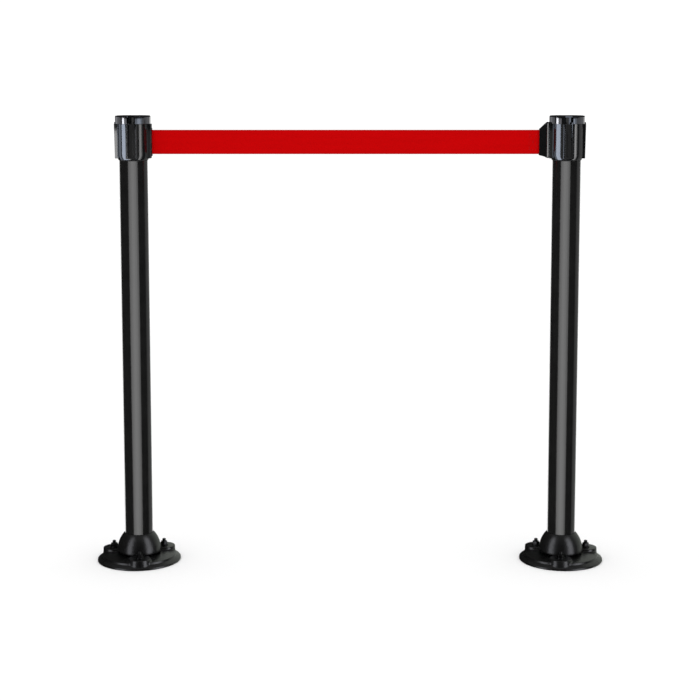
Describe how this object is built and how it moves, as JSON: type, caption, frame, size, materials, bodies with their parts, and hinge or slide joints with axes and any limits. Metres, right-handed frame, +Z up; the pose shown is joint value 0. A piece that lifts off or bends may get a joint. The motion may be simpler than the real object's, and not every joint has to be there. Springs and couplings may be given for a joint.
{
  "type": "retractable belt barrier",
  "caption": "Pair of floor-mounted barrier posts with domed collars and slotted heads, joined by a red retractable belt whose end piece drops into the second head.",
  "frame": {"origin": "on the floor, midway between the two post axes", "axes": "+X along the belt from the left post to the right post, +Y away from the front, +Z up"},
  "size_m": [1.0874, 0.1774, 0.955],
  "materials": {
    "cast_black": "black powder coat with a fine orange peel over cast iron, satin",
    "tube_black": "smooth black powder coat over steel tube, semi-gloss",
    "head_plastic": "moulded black plastic, glossy",
    "cap_plastic": "polished black plastic",
    "inner_plastic": "grey glass-filled plastic, matte",
    "dark_zinc": "black zinc-plated steel",
    "bright_steel": "bright zinc-plated steel",
    "spring_steel": "blued spring steel",
    "red_webbing": "woven polyester webbing, red, with a closer-woven edge"
  },
  "bodies": {
    "posts": {"left_base_flange": "cast_black", "left_base_collar": "cast_black", "left_post_tube": "tube_black", "left_set_screw_1": "dark_zinc", "left_set_screw_2": "dark_zinc", "left_anchor_stud_1": "dark_zinc", "left_anchor_washer_1": "dark_zinc", "left_anchor_nut_1": "dark_zinc", "left_anchor_stud_2": "dark_zinc", "left_anchor_washer_2": "dark_zinc", "left_anchor_nut_2": "dark_zinc", "left_anchor_stud_3": "dark_zinc", "left_anchor_washer_3": "dark_zinc", "left_anchor_nut_3": "dark_zinc", "left_head_adapter": "inner_plastic", "left_head_body": "head_plastic", "left_head_screw_1": "bright_steel", "left_head_screw_2": "bright_steel", "left_head_cap": "cap_plastic", "left_cap_screw": "bright_steel", "left_cap_plug": "cap_plastic", "right_base_flange": "cast_black", "right_base_collar": "cast_black", "right_post_tube": "tube_black", "right_set_screw_1": "dark_zinc", "right_set_screw_2": "dark_zinc", "right_anchor_stud_1": "dark_zinc", "right_anchor_washer_1": "dark_zinc", "right_anchor_nut_1": "dark_zinc", "right_anchor_stud_2": "dark_zinc", "right_anchor_washer_2": "dark_zinc", "right_anchor_nut_2": "dark_zinc", "right_anchor_stud_3": "dark_zinc", "right_anchor_washer_3": "dark_zinc", "right_anchor_nut_3": "dark_zinc", "right_head_adapter": "inner_plastic", "right_head_body": "head_plastic", "right_head_screw_1": "bright_steel", "right_head_screw_2": "bright_steel", "right_head_cap": "cap_plastic", "right_cap_screw": "bright_steel", "right_cap_plug": "cap_plastic", "right_cap_standoff": "bright_steel", "belt_lead_in": "red_webbing", "belt_outlet_bezel": "head_plastic", "spool_shaft": "bright_steel", "spring_cover": "inner_plastic", "power_spring": "spring_steel", "cassette_top_plate": "inner_plastic"},
    "belt": {"belt_strap": "red_webbing"},
    "belt_fold": {"belt_loop": "red_webbing"},
    "belt_end": {"belt_end_body": "head_plastic", "belt_end_pin": "bright_steel"},
    "spool": {"belt_spool": "inner_plastic", "belt_roll": "red_webbing"}
  },
  "joints": [
    {"name": "belt_lift", "type": "hinge", "parent": "posts", "child": "belt", "pos_m": [-0.4151, 0, 0.9396], "axis": [0, -1, 0], "range_deg": [0, 6.4]},
    {"name": "belt_travel", "type": "slide", "parent": "belt", "child": "belt_fold", "axis": [1, 0, 0], "range_m": [-0.7846, 0], "deforming": ["belt_strap"]},
    {"name": "end_upright", "type": "hinge", "parent": "belt_fold", "child": "belt_end", "pos_m": [0.407, 0, 0.8996], "axis": [0, -1, 0], "range_deg": [-6.4, 0], "deforming": ["belt_loop"]},
    {"name": "spool_spin", "type": "hinge", "parent": "posts", "child": "spool", "pos_m": [-0.455, 0, 0.8996], "axis": [0, 0, 1], "range_deg": [0, 2140.8]}
  ],
  "couplings": [
    {"joint": "end_upright", "follows": "belt_lift", "ratio": -1},
    {"joint": "spool_spin", "follows": "belt_travel", "rad_per_m": -47.6}
  ]
}
